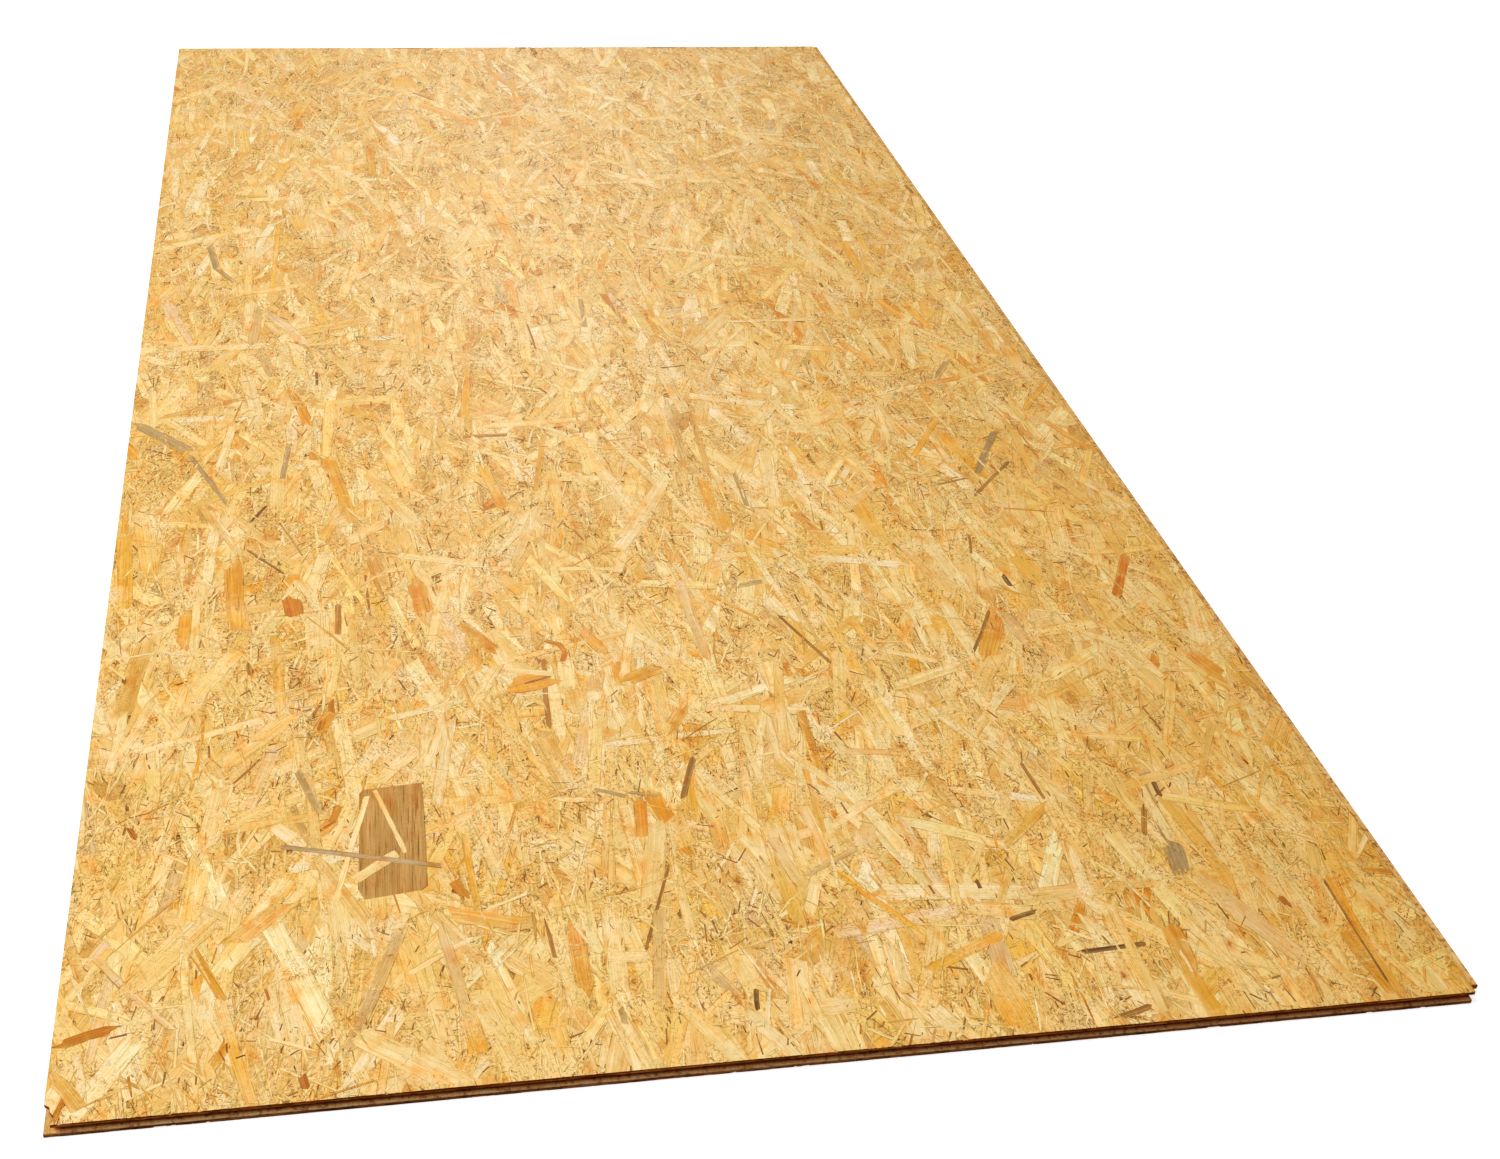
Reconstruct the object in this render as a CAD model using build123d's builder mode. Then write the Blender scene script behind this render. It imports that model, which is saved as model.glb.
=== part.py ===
"""Oriented strand board panel with tongue-and-groove edges on all four sides.

The panel lies flat: X runs across its width, Y along its length, which is the strong axis of the strands, and
Z up through its thickness. The origin is the centre of the cover area on the underside. The right and far
edges carry tongues. The left and front edges carry the grooves that take the next panels' tongues.
"""

import os

from build123d import *

os.makedirs("parts", exist_ok=True)

# Board, in millimetres: the cover area is what shows when panels are joined
cover_width = 1250.0
cover_length = 2500.0
thickness = 15.0

# Tongue: a tapered strip in the middle of the thickness, with a rounded nose
tongue_reach = 11.0
tongue_root_thickness = 6.0
tongue_nose_thickness = 5.2
tongue_nose_radius = 1.5

# Groove: the same taper with play all round, rounded at the bottom and bevelled at the mouth
groove_side_play = 0.25
groove_end_play = 0.6
groove_bottom_radius = 1.0
groove_mouth_bevel = 0.6

# Broken corner of the upper lip, where the two grooves meet: how far the break runs along the left edge and in
# from it, and the ragged line of the break from the front edge to the left edge
break_length = 21.0
break_depth = 9.0
break_line_shares = [(0.72, 0.0), (0.80, 0.17), (1.0, 0.38), (0.62, 0.61), (0.50, 0.86), (0.0, 1.0)]

# Cutters run this far past the board
overrun = 2.0

# What follows from those sizes
mid_height = thickness / 2
left_x = -cover_width / 2
right_x = cover_width / 2
front_y = -cover_length / 2
far_y = cover_length / 2
groove_depth = tongue_reach + groove_end_play
groove_mouth_height = tongue_root_thickness + 2 * groove_side_play
groove_bottom_height = tongue_nose_thickness + 2 * groove_side_play
run_across = cover_width + tongue_reach + 2 * overrun
run_along = cover_length + tongue_reach + 2 * overrun

# One plane for each milled edge, at the start of its cutter's run and at mid-thickness. The plane's x axis
# points out of the board through that edge and its y axis points up or down, which the profiles don't feel.
right_edge = Plane((right_x, front_y - overrun, mid_height), x_dir=(1, 0, 0), z_dir=(0, 1, 0))
far_edge = Plane((left_x - overrun, far_y, mid_height), x_dir=(0, 1, 0), z_dir=(1, 0, 0))
left_edge = Plane((left_x, front_y - overrun, mid_height), x_dir=(-1, 0, 0), z_dir=(0, 1, 0))
front_edge = Plane((left_x - overrun, front_y, mid_height), x_dir=(0, -1, 0), z_dir=(1, 0, 0))


def tongue_waste(edge_plane):
    """Section of what is milled off above, below and beyond the tongue along one edge."""
    waste_height = thickness / 2 + overrun
    waste_reach = tongue_reach + overrun
    with BuildSketch(edge_plane) as waste:
        with BuildLine():
            flanks = FilletPolyline(
                (0, -tongue_root_thickness / 2),
                (tongue_reach, -tongue_nose_thickness / 2),
                (tongue_reach, tongue_nose_thickness / 2),
                (0, tongue_root_thickness / 2),
                radius=tongue_nose_radius,
            )
            Polyline(
                flanks @ 1,
                (0, waste_height),
                (waste_reach, waste_height),
                (waste_reach, -waste_height),
                (0, -waste_height),
                flanks @ 0,
            )
        make_face()
    return waste.sketch


def groove_waste(edge_plane):
    """Section of what is milled out of the groove along one edge."""
    with BuildSketch(edge_plane) as waste:
        with BuildLine():
            walls = FilletPolyline(
                (-groove_mouth_bevel, groove_mouth_height / 2),
                (-groove_depth, groove_bottom_height / 2),
                (-groove_depth, -groove_bottom_height / 2),
                (-groove_mouth_bevel, -groove_mouth_height / 2),
                radius=groove_bottom_radius,
            )
            Polyline(
                walls @ 1,
                (0, -groove_mouth_height / 2 - groove_mouth_bevel),
                (overrun, -groove_mouth_height / 2 - groove_mouth_bevel),
                (overrun, groove_mouth_height / 2 + groove_mouth_bevel),
                (0, groove_mouth_height / 2 + groove_mouth_bevel),
                walls @ 0,
            )
        make_face()
    return waste.sketch


with BuildPart() as panel:
    # Sawn blank, with room for the tongues on its right and far edges
    with BuildSketch():
        with Locations((tongue_reach / 2, tongue_reach / 2)):
            Rectangle(cover_width + tongue_reach, cover_length + tongue_reach)
    extrude(amount=thickness)

    # The tongues run into each other at the far right corner
    extrude(tongue_waste(right_edge), amount=run_along, mode=Mode.SUBTRACT)
    extrude(tongue_waste(far_edge), amount=run_across, mode=Mode.SUBTRACT)
    extrude(groove_waste(left_edge), amount=run_along, mode=Mode.SUBTRACT)
    extrude(groove_waste(front_edge), amount=run_across, mode=Mode.SUBTRACT)

    # Each groove's cutter also goes through the end of the tongue that it crosses, and the thin fins left there
    # break off, so the tongues stop square, a groove's depth short of the front and left edges
    with BuildSketch():
        with Locations((right_x, front_y - overrun)):
            Rectangle(tongue_reach + overrun, groove_depth + overrun, align=Align.MIN)
        with Locations((left_x - overrun, far_y)):
            Rectangle(groove_depth + overrun, tongue_reach + overrun, align=Align.MIN)
    extrude(amount=thickness, mode=Mode.SUBTRACT)

    # The upper lip is broken away at the front left corner, down into the groove
    with BuildSketch(Plane.XY.offset(mid_height)):
        with BuildLine():
            broken = Polyline(
                *[
                    (left_x + across_share * break_depth, front_y + along_share * break_length)
                    for across_share, along_share in break_line_shares
                ]
            )
            Polyline(
                broken @ 1,
                (left_x - overrun, front_y + break_length),
                (left_x - overrun, front_y - overrun),
                (left_x + break_line_shares[0][0] * break_depth, front_y - overrun),
                broken @ 0,
            )
        make_face()
    extrude(amount=thickness, mode=Mode.SUBTRACT)

panel.part.label = "panel"
export_step(panel.part, "parts/panel.step")
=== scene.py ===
# %% [markdown]
# # A panel of oriented strand board
#
# Strand board is made of thin flakes of wood, called strands, that are strewn in layers, glued and
# pressed flat. The sheet is then sawn to size and its four edges are milled with tongues and grooves. The
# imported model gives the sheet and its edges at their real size. This script gives the sheet its faces. A
# flat face with a painted pattern would be quick, but it would show no strand from close by. So the faces
# are thousands of thin strands, each with its own outline, tone and grain, pressed into one another as on
# the real sheet.

# %% Load the panel
import math

import bmesh
import bpy
import numpy as np
from mathutils import Matrix, Vector


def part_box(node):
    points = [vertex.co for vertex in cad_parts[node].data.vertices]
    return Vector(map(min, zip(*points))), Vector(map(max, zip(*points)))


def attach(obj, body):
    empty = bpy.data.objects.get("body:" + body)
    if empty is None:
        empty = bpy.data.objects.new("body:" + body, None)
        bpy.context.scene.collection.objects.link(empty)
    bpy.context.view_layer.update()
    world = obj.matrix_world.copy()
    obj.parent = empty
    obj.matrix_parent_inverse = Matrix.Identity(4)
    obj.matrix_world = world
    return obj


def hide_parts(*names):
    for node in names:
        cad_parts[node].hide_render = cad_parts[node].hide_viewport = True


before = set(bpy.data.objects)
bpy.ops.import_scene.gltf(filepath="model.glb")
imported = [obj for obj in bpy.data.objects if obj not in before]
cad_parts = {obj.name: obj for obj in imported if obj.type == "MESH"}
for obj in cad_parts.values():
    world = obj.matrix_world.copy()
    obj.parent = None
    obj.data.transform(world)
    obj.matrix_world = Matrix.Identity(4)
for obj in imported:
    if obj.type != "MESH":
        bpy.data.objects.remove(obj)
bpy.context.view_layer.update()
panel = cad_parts["panel"]
panel_low, panel_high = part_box("panel")
half_width = -panel_low.x
half_length = -panel_low.y
thickness = panel_high.z
tongue_reach = panel_high.x - half_width
mm = 0.001
print(f"cover area {2 * half_width:.3f} x {2 * half_length:.3f} m, tongue {tongue_reach / mm:.1f} mm")

# %% [markdown]
# ## Camera
#
# The photograph looks down along the panel from above its near left corner. A camera could be turned by
# eye until it looks right, but here its place and turn come from the panel's four straight edges: only
# one camera makes a sheet of this size fall on all of them. The lens is written as a focal length in
# pixels of the photograph, and the two shifts say how far the middle of the lens lies from the middle of
# the picture.

# %% Say where the camera looks
camera_place = Vector((-0.3751, -2.2498, 1.2462))
camera_pitch = math.radians(33.466)
camera_yaw = math.radians(11.001)
camera_roll = math.radians(3.559)
look = Vector((
    math.sin(camera_yaw) * math.cos(camera_pitch),
    math.cos(camera_yaw) * math.cos(camera_pitch),
    -math.sin(camera_pitch),
))
level_right = Vector((math.cos(camera_yaw), -math.sin(camera_yaw), 0))
level_up = level_right.cross(look)
camera_right = math.cos(camera_roll) * level_right + math.sin(camera_roll) * level_up
camera_up = math.cos(camera_roll) * level_up - math.sin(camera_roll) * level_right
print("camera looks along", [round(part, 3) for part in look])

# %% Make the camera
photo_width, photo_height = 1500, 1159
focal_px = 1833.4
lens_middle_px = (628.4, 517.1)
camera_data = bpy.data.cameras.new("camera")
camera_data.sensor_fit = "HORIZONTAL"
camera_data.sensor_width = 36
camera_data.lens = camera_data.sensor_width * focal_px / photo_width
camera_data.shift_x = (photo_width / 2 - lens_middle_px[0]) / photo_width
camera_data.shift_y = (lens_middle_px[1] - photo_height / 2) / photo_width
camera = bpy.data.objects.new("camera", camera_data)
camera.matrix_world = Matrix((camera_right, camera_up, -look)).transposed().to_4x4()
camera.location = camera_place
bpy.context.scene.collection.objects.link(camera)
bpy.context.scene.camera = camera
bpy.context.scene.view_settings.view_transform = "Standard"
print(f"lens {camera_data.lens:.1f} mm, shift {camera_data.shift_x:.3f}, {camera_data.shift_y:.3f}")

# %% [markdown]
# ## Helpers for nodes
#
# Every material below is a graph of nodes. Such a graph could be drawn by hand in the shader editor, but
# in code it can be read from top to bottom and made again. The first helper adds a node, sets its
# properties and fills its sockets, with a plain value or with another node's output, which makes a link.
# The others add the few kinds of node that come up again and again.

# %% Add nodes with one call
def put(tree, kind, inputs=None, **settings):
    made = tree.nodes.new(kind)
    for name, value in settings.items():
        setattr(made, name, value)
    for key, value in (inputs or {}).items():
        if isinstance(value, bpy.types.NodeSocket):
            tree.links.new(value, made.inputs[key])
        else:
            made.inputs[key].default_value = value
    return made


def math_node(tree, operation, first, second=0.0):
    return put(tree, "ShaderNodeMath", {0: first, 1: second}, operation=operation).outputs[0]


def times(tree, *factors):
    """The product of two or more values."""
    product = factors[0]
    for factor in factors[1:]:
        product = math_node(tree, "MULTIPLY", product, factor)
    return product


def spread(tree, value, limits, results):
    """Turns values between two limits into values between two results, and stops there."""
    sockets = {"Value": value, "From Min": limits[0], "From Max": limits[1]}
    sockets.update({"To Min": results[0], "To Max": results[1]})
    return put(tree, "ShaderNodeMapRange", sockets).outputs[0]


def new_material(name):
    """A material with nodes, its tree and its shader."""
    made = bpy.data.materials.new(name)
    made.use_nodes = True
    return made, made.node_tree, made.node_tree.nodes["Principled BSDF"]


print("node helpers:", ", ".join(helper.__name__ for helper in (put, math_node, times, spread, new_material)))

# %% Turn picture colours into shader colours
def srgb(red, green, blue):
    """A colour as it is read from a picture, 0 to 255, turned into the linear numbers that shaders use."""
    share = np.array([red, green, blue]) / 255
    linear = np.where(share <= 0.04045, share / 12.92, ((share + 0.055) / 1.055) ** 2.4)
    return tuple(float(part) for part in linear)


def paint(red, green, blue):
    """A picture colour as a colour socket takes it, with an alpha of 1."""
    return (*srgb(red, green, blue), 1)


print(f"a picture grey of 128 is {srgb(128, 128, 128)[0]:.3f} in a shader")

# %% [markdown]
# ## Floor and light
#
# The panel lies on a plain white floor. A big lamp above the far left lights the face and leaves the near
# edge in shade, and its light falls off towards the near right corner, as in the photograph. A second
# lamp stands low behind the panel, where the face mirrors it as a soft sheen over its far half. An even
# white sky fills the rest. One sun would be simpler, but its shadows are too hard for a studio. Together
# these light a level surface at about full strength, so a colour shows about as written.

# %% Make the floor
floor_gap = 0.3 * mm
floor_reach = 40.0
floor_mesh = bpy.data.meshes.new("floor")
corner_signs = ((-1, -1), (1, -1), (1, 1), (-1, 1))
floor_corners = [(x * floor_reach, y * floor_reach, -floor_gap) for x, y in corner_signs]
floor_mesh.from_pydata(floor_corners, [], [(0, 1, 2, 3)])
floor = bpy.data.objects.new("floor", floor_mesh)
bpy.context.scene.collection.objects.link(floor)
print(f"floor laid {floor_gap / mm:.1f} mm below the panel")

# %% Paint the floor
# The camera sees the floor a little lighter than it is, so that it is white and still takes a shadow
floor_lift = 0.55
floor_grey = 0.86
floor_paint, floor_tree, floor_shader = new_material("floor_paint")
floor_shader.inputs["Base Color"].default_value = (floor_grey, floor_grey, floor_grey, 1)
floor_shader.inputs["Roughness"].default_value = 0.9
floor_shader.inputs["Specular IOR Level"].default_value = 0.0
floor_shader.inputs["Emission Color"].default_value = (1, 1, 1, 1)
floor_seen = put(floor_tree, "ShaderNodeLightPath").outputs["Is Camera Ray"]
floor_tree.links.new(times(floor_tree, floor_seen, floor_lift), floor_shader.inputs["Emission Strength"])
floor_mesh.materials.append(floor_paint)
print(f"floor painted {floor_grey:.0%} white")

# %% Make the sky and the lamps
sky_level = 0.52
sky = bpy.data.worlds.new("sky")
sky.use_nodes = True
bpy.context.scene.world = sky
sky_tree = sky.node_tree
sky_light = sky_tree.nodes["Background"]
sky_seen = put(sky_tree, "ShaderNodeLightPath").outputs["Is Camera Ray"]
sky_tree.links.new(spread(sky_tree, sky_seen, (0.0, 1.0), (sky_level, 1.0)), sky_light.inputs["Strength"])
sky_light.inputs["Color"].default_value = (1, 1, 1, 1)


def lamp(name, watts, place, wide, tall):
    """An oblong lamp at a place, turned to shine at the middle of the panel."""
    data = bpy.data.lights.new(name, "AREA")
    data.energy = watts
    data.shape = "RECTANGLE"
    data.size = wide
    data.size_y = tall
    made = bpy.data.objects.new(name, data)
    made.location = place
    made.rotation_euler = Vector(place).to_track_quat("Z", "Y").to_euler()
    bpy.context.scene.collection.objects.link(made)
    print(f"{name}: {watts} W, {wide} x {tall} m")


lamp("big_window", watts=249, place=(-3.3, -0.5, 5.0), wide=3.0, tall=3.0)
lamp("tall_window", watts=34, place=(0.50, 5.0, 3.0), wide=0.9, tall=3.2)

# %% [markdown]
# ## The pressed mat
#
# Under its top strands the sheet is one pressed mat of wood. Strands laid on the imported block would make
# the sheet thicker than it is. So a copy of the block takes its place: the milled edges stay as they are,
# and the two faces are set back by the depth of the strand layer.

# %% Set the two faces back
skin_depth = 1.0 * mm
on_face = 0.1 * mm
core_mesh = panel.data.copy()
core_mesh.name = "pressed_mat"
core_mesh.materials.clear()
for vertex in core_mesh.vertices:
    if vertex.co.z > thickness - on_face:
        vertex.co.z -= skin_depth
    elif vertex.co.z < on_face:
        vertex.co.z += skin_depth
if "custom_normal" in core_mesh.attributes:
    core_mesh.attributes.remove(core_mesh.attributes["custom_normal"])
core_mesh.shade_flat()
core = bpy.data.objects.new("pressed_mat", core_mesh)
bpy.context.scene.collection.objects.link(core)
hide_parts("panel")
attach(core, "root")
print(f"pressed mat: {len(core_mesh.polygons)} faces")

# %% Mark the faces inside the two grooves, which get painted shade
groove_reach = tongue_reach + 1 * mm
lip_share = 0.25
groove_mark = core_mesh.attributes.new("in_groove", "FLOAT", "FACE")
for polygon in core_mesh.polygons:
    middle = polygon.center
    depth = min(middle.x + half_width, middle.y + half_length)
    between_lips = lip_share * thickness < middle.z < (1 - lip_share) * thickness
    on_cover = max(middle.x - half_width, middle.y - half_length) < 0
    inside = on_face < depth < groove_reach and between_lips and on_cover
    groove_mark.data[polygon.index].value = float(inside)
print("faces in the grooves:", sum(int(mark.value) for mark in groove_mark.data))

# %% [markdown]
# ## Tones of wood
#
# The long strands on top are pale sapwood: cream, butter and straw. The ground between them is more golden. A
# few strands are orange heartwood, a few are grey or brown with age, and some dark slivers are bark. Noise in
# the material could vary one colour, but strands meet at sharp lines of tone. So the tones are named, and
# each kind of strand draws from a mix of its own.

# %% Name the tones
tones = {
    "straw": (235, 186, 99),
    "butter": (244, 205, 130),
    "cream": (249, 218, 157),
    "honey": (236, 179, 66),
    "wheat": (228, 177, 94),
    "tan": (221, 165, 76),
    "beige": (231, 191, 140),
    "ochre": (234, 165, 22),
    "amber": (226, 148, 0),
    "copper": (207, 125, 0),
    "toffee": (180, 121, 48),
    "rust": (184, 104, 18),
    "grey": (184, 153, 108),
    "taupe": (213, 172, 112),
    "brown": (156, 104, 46),
    "bark": (104, 64, 26),
    "bone": (248, 223, 176),
    "flake": (193, 144, 73),
}
tone_colours = np.array([srgb(*tones[name]) for name in tones])
print(f"{len(tones)} tones of wood")

# %% Mix the tones
def mix_of(**shares):
    """How often each tone turns up, in the order of the table of tones."""
    weights = np.array([shares.get(name, 0) for name in tones], float)
    return weights / weights.sum()


mixes = {
    "ground": mix_of(
        straw=40, butter=16, cream=6, honey=14, wheat=16, tan=4, beige=2, ochre=2.2, amber=0.8, taupe=1.5),
    "pale": mix_of(
        cream=33, butter=36, bone=5, straw=18, beige=2, honey=3, tan=1, ochre=1.4, amber=0.9, taupe=0.6,
        grey=0.2),
    "splinters": mix_of(
        straw=16, butter=26, cream=36, bone=6, honey=6, wheat=5, tan=2, ochre=2, amber=0.6, toffee=0.8),
    "dust": mix_of(
        straw=14, butter=18, cream=26, honey=4, wheat=5, tan=10, ochre=3, copper=1, toffee=9, taupe=2,
        brown=8),
    "specks": mix_of(copper=8, toffee=34, rust=8, brown=36, bark=14),
}
print("mixes:", ", ".join(mixes))

# %% [markdown]
# ## Shape of a strand
#
# A strand is split along the grain, so its long sides are nearly straight and its ends are cut, torn or
# pointed. One strand could be modelled and copied, but copies are soon noticed. Here each strand is
# described by a few stations along its length, each with a half width and a small sideways wander.
# Working on whole arrays of strands at once keeps this quick.

# %% Draw the outlines of many strands
full_outline = 5  # the stations of a strand whose ends are cut aslant
station_shares = {2: (-1, 1), 3: (-1, 0.1, 1), full_outline: (-1, -0.8, 0.05, 0.8, 1)}
# how uneven a strand is, as shares of its own width or length
waist_share, swell = 0.10, 1.04
bow_share = 0.012
wander_share = 0.035
slant_share, most_slant = 0.35, 0.22
behind_cut, least_behind = 1.2, 0.03


def shape_strands(rng, centre, turn, length, width, stations, taper, raggedness=1.0, slant=None):
    """A batch of strands with the same number of stations. Turn is from +Y towards +X. Taper holds the share
    of the width that is left at each strand's two ends."""
    count = len(length)
    share = np.array(station_shares[stations])
    fullness = rng.uniform(1 - waist_share * raggedness, swell, (count, stations))
    half = np.repeat(width[:, None] / 2, stations, 1) * fullness
    half[:, [0, -1]] *= taper
    bow = rng.normal(0, bow_share * raggedness, count) * length
    uneven = rng.normal(0, wander_share * raggedness, (count, stations)) * width[:, None]
    wander = bow[:, None] * (1 - share**2) + uneven
    if slant is None:
        slant = rng.normal(0, slant_share * raggedness, (count, 2)) * width[:, None]
        slant = np.clip(slant, -most_slant * length[:, None], most_slant * length[:, None])
    along = share * length[:, None] / 2
    if stations == full_outline:
        # the ends are cut slanting, so the next station lies behind the cut
        along[:, 1] = along[:, 0] + np.abs(slant[:, 0]) * behind_cut + least_behind * length
        along[:, 3] = along[:, 4] - np.abs(slant[:, 1]) * behind_cut - least_behind * length
    side_a, side_b = along.copy(), along.copy()
    side_a[:, [0, -1]] += slant
    side_b[:, [0, -1]] -= slant
    return dict(
        centre=centre, turn=turn, length=length, width=width, half=half, wander=wander, stations=along,
        along=np.concatenate([side_a, side_b], 1),
        across=np.concatenate([wander + half, wander - half], 1),
    )


def to_face(batch, along, across):
    """Turns places along and across each strand into places on the face."""
    sine, cosine = np.sin(batch["turn"])[:, None], np.cos(batch["turn"])[:, None]
    x = batch["centre"][:, :1] + along * sine + across * cosine
    y = batch["centre"][:, 1:] + along * cosine - across * sine
    return np.stack([x, y], -1)


print("a strand has", " or ".join(str(stations) for stations in station_shares), "stations")

# %% [markdown]
# ## Kinds of strand
#
# Broad golden strands make the bed, and pale, clean strands lie over it. Splinters, dust and dark specks
# fill what is left between them. One shape at many sizes would be simpler, but the kinds also differ in
# how many stray from the length of the panel, in whether they gather in patches, and in how clean of
# fines they are. So each kind has a row of its own.

# %% List the kinds
kinds = {
    # lengths and widths are the least, the commonest and the most, in metres; order 1 is on top
    "bed": dict(
        count=8500, length=(0.060, 0.100, 0.170), width=(0.012, 0.020, 0.040), stations=5,
        order=(0.00, 0.45), tones="ground", stray=0.30, patchy=0.0, clean=0.1),
    "strand": dict(
        count=2500, length=(0.045, 0.090, 0.170), width=(0.006, 0.011, 0.026), stations=5,
        order=(0.40, 0.86), tones="pale", stray=0.24, patchy=-0.5, clean=0.9),
    "splinter": dict(
        count=7000, length=(0.012, 0.026, 0.090), width=(0.0011, 0.0019, 0.0050), stations=3,
        order=(0.35, 1.00), tones="splinters", stray=0.40, patchy=0.6, clean=0.8),
    "dust": dict(
        count=21000, length=(0.003, 0.009, 0.024), width=(0.0008, 0.0013, 0.0026), stations=2,
        order=(0.38, 0.97), tones="dust", stray=0.50, patchy=1.0, clean=0.6),
    "speck": dict(
        count=4200, length=(0.0012, 0.0030, 0.010), width=(0.0006, 0.0009, 0.0019), stations=2,
        order=(0.55, 1.00), tones="specks", stray=0.32, patchy=0.5, clean=1.0),
}
print("strands to strew:", {name: kind["count"] for name, kind in kinds.items()})

# %% [markdown]
# ## Strewing the strands
#
# The strands of a face layer are strewn mostly along the length of the panel, and about a third lie at
# any angle. An even scatter would look printed, because real splinters and dust gather in patches between
# the broad strands. So a smooth random field says how likely a strand is at each place. The random
# numbers come from generators with fixed seeds, so the panel is the same on each run.

# %% Make a smooth random field
def smooth_field(rng, cell):
    """Random values from 0 to 1 that change smoothly over about one cell, as a function of place."""
    columns, rows = int(2 * half_width / cell) + 3, int(2 * half_length / cell) + 3
    grid = rng.random((rows, columns))

    def at(place):
        gx, gy = (place[:, 0] + half_width) / cell + 0.5, (place[:, 1] + half_length) / cell + 0.5
        gx, gy = np.clip(gx, 0, columns - 1.001), np.clip(gy, 0, rows - 1.001)
        column, row = gx.astype(int), gy.astype(int)
        fx, fy = gx - column, gy - row
        fx, fy = fx * fx * (3 - 2 * fx), fy * fy * (3 - 2 * fy)
        near = grid[row, column] * (1 - fx) + grid[row, column + 1] * fx
        far = grid[row + 1, column] * (1 - fx) + grid[row + 1, column + 1] * fx
        return near * (1 - fy) + far * fy

    return at


patch_size = 0.045
print(f"patches are about {patch_size / mm:.0f} mm across")

# %% Strew one kind of strand
strew_margin = 0.03
patch_contrast, least_likely = 2.2, 0.05
usual_turn = 17  # degrees either side of the panel's length
end_tapers, taper_odds = [1.0, 0.85, 0.55, 0.2], [0.35, 0.25, 0.22, 0.18]
darkest, lightest = 0.002, 0.96
# how much brightness and the three colours differ from strand to strand, and along one strand
bright_drift, colour_drift = 0.03, (0, 0.016, 0.12)
along_drift, along_colours = 0.11, (0.6, 1.0, 1.7)
least_clean = 0.6
# each strand has its own part of the grain, and settles by its own share of a press step
most_seed, most_settle = 50, 0.9


def strew(rng, kind, patches, share=1.0):
    """A batch of one kind of strand, strewn a little past the edges, where the saw will cut it."""
    count = int(kind["count"] * share)
    trial = rng.uniform(-1, 1, (count * 3, 2)) * (half_width + strew_margin, half_length + strew_margin)
    likely = np.clip(0.5 + kind["patchy"] * (patches(trial) - 0.5) * patch_contrast, least_likely, 1)
    centre = trial[rng.random(len(trial)) < likely][:count]
    count = len(centre)
    stray = rng.random(count) < kind["stray"]
    turn = np.where(stray, rng.uniform(-90, 90, count), rng.normal(0, usual_turn, count))
    tone = tone_colours[rng.choice(len(tones), count, p=mixes[kind["tones"]])]
    tone = tone * rng.normal(1, bright_drift, (count, 1)) * (1 + rng.normal(0, 1, (count, 1)) * colour_drift)
    length = rng.triangular(*kind["length"], count)
    width = rng.triangular(*kind["width"], count)
    taper = rng.choice(end_tapers, (count, 2), p=taper_odds)
    batch = shape_strands(rng, centre, np.radians(turn), length, width, kind["stations"], taper)
    second_tone = tone * (1 + rng.normal(0, along_drift, (count, 1)) * along_colours)
    batch["tone"] = np.clip(tone, darkest, lightest)
    batch["second_tone"] = np.clip(second_tone, darkest, lightest)
    batch["tint"] = rng.random((count, 2 * kind["stations"]))
    batch["clean"] = kind["clean"] * rng.uniform(least_clean, 1.0, count)
    batch["seed"] = rng.uniform(0, most_seed, count)
    batch["order"] = rng.uniform(*kind["order"], count)
    batch["settle"] = rng.uniform(0, most_settle, count)
    return batch


print(f"strands are strewn to {strew_margin / mm:.0f} mm past the edges")

# %% [markdown]
# ## Pressing the strands together
#
# In the press the top strands end up flush with the face, and what lies under them is pushed down. A
# physics simulation of so many strands would take hours. Instead the strands are laid from the top down
# on a grid of millimetre cells. A strand lies one step below everything that covers it, and a strand of
# which nothing would be seen is left out.

# %% Find the cells under a strand
cell = 1 * mm
grid_columns, grid_rows = round(2 * half_width / cell), round(2 * half_length / cell)
thin = 2.5 * mm
thin_reach = 0.46


def line_cells(centre, sine, cosine, length):
    """The cells along the middle of a thin strand."""
    run = np.linspace(-thin_reach, thin_reach, max(3, int(length / cell))) * length
    x, y = centre[0] + run * sine, centre[1] + run * cosine
    column, row = ((x + half_width) / cell).astype(int), ((y + half_length) / cell).astype(int)
    inside = (x > -half_width) & (y > -half_length) & (column < grid_columns) & (row < grid_rows)
    return row[inside], column[inside]


def cells_of(batch, index):
    """The cells under one strand, as rows and columns of the grid."""
    centre, turn = batch["centre"][index], batch["turn"][index]
    length, width = batch["length"][index], batch["width"][index]
    sine, cosine = math.sin(turn), math.cos(turn)
    if width < thin:
        return line_cells(centre, sine, cosine, length)
    reach_x = (abs(sine) * length + abs(cosine) * width) / 2 + cell
    reach_y = (abs(cosine) * length + abs(sine) * width) / 2 + cell
    first_column = max(int((centre[0] - reach_x + half_width) / cell), 0)
    last_column = min(int((centre[0] + reach_x + half_width) / cell) + 1, grid_columns)
    first_row = max(int((centre[1] - reach_y + half_length) / cell), 0)
    last_row = min(int((centre[1] + reach_y + half_length) / cell) + 1, grid_rows)
    if first_column >= last_column or first_row >= last_row:
        return np.empty(0, int), np.empty(0, int)
    x = (np.arange(first_column, last_column) + 0.5) * cell - half_width - centre[0]
    y = ((np.arange(first_row, last_row) + 0.5) * cell - half_length - centre[1])[:, None]
    along, across = x * sine + y * cosine, x * cosine - y * sine
    half = np.interp(along, batch["stations"][index], batch["half"][index])
    wander = np.interp(along, batch["stations"][index], batch["wander"][index])
    row, column = np.nonzero((np.abs(along) < length / 2) & (np.abs(across - wander) < half))
    return row + first_row, column + first_column


print(f"a grid of {grid_columns} x {grid_rows} cells")

# %% Lay the strands from the top down
press_step = 0.012 * mm
spare_steps = 8
deepest_step = int(skin_depth / press_step) - spare_steps
least_shown = 0.03


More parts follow.
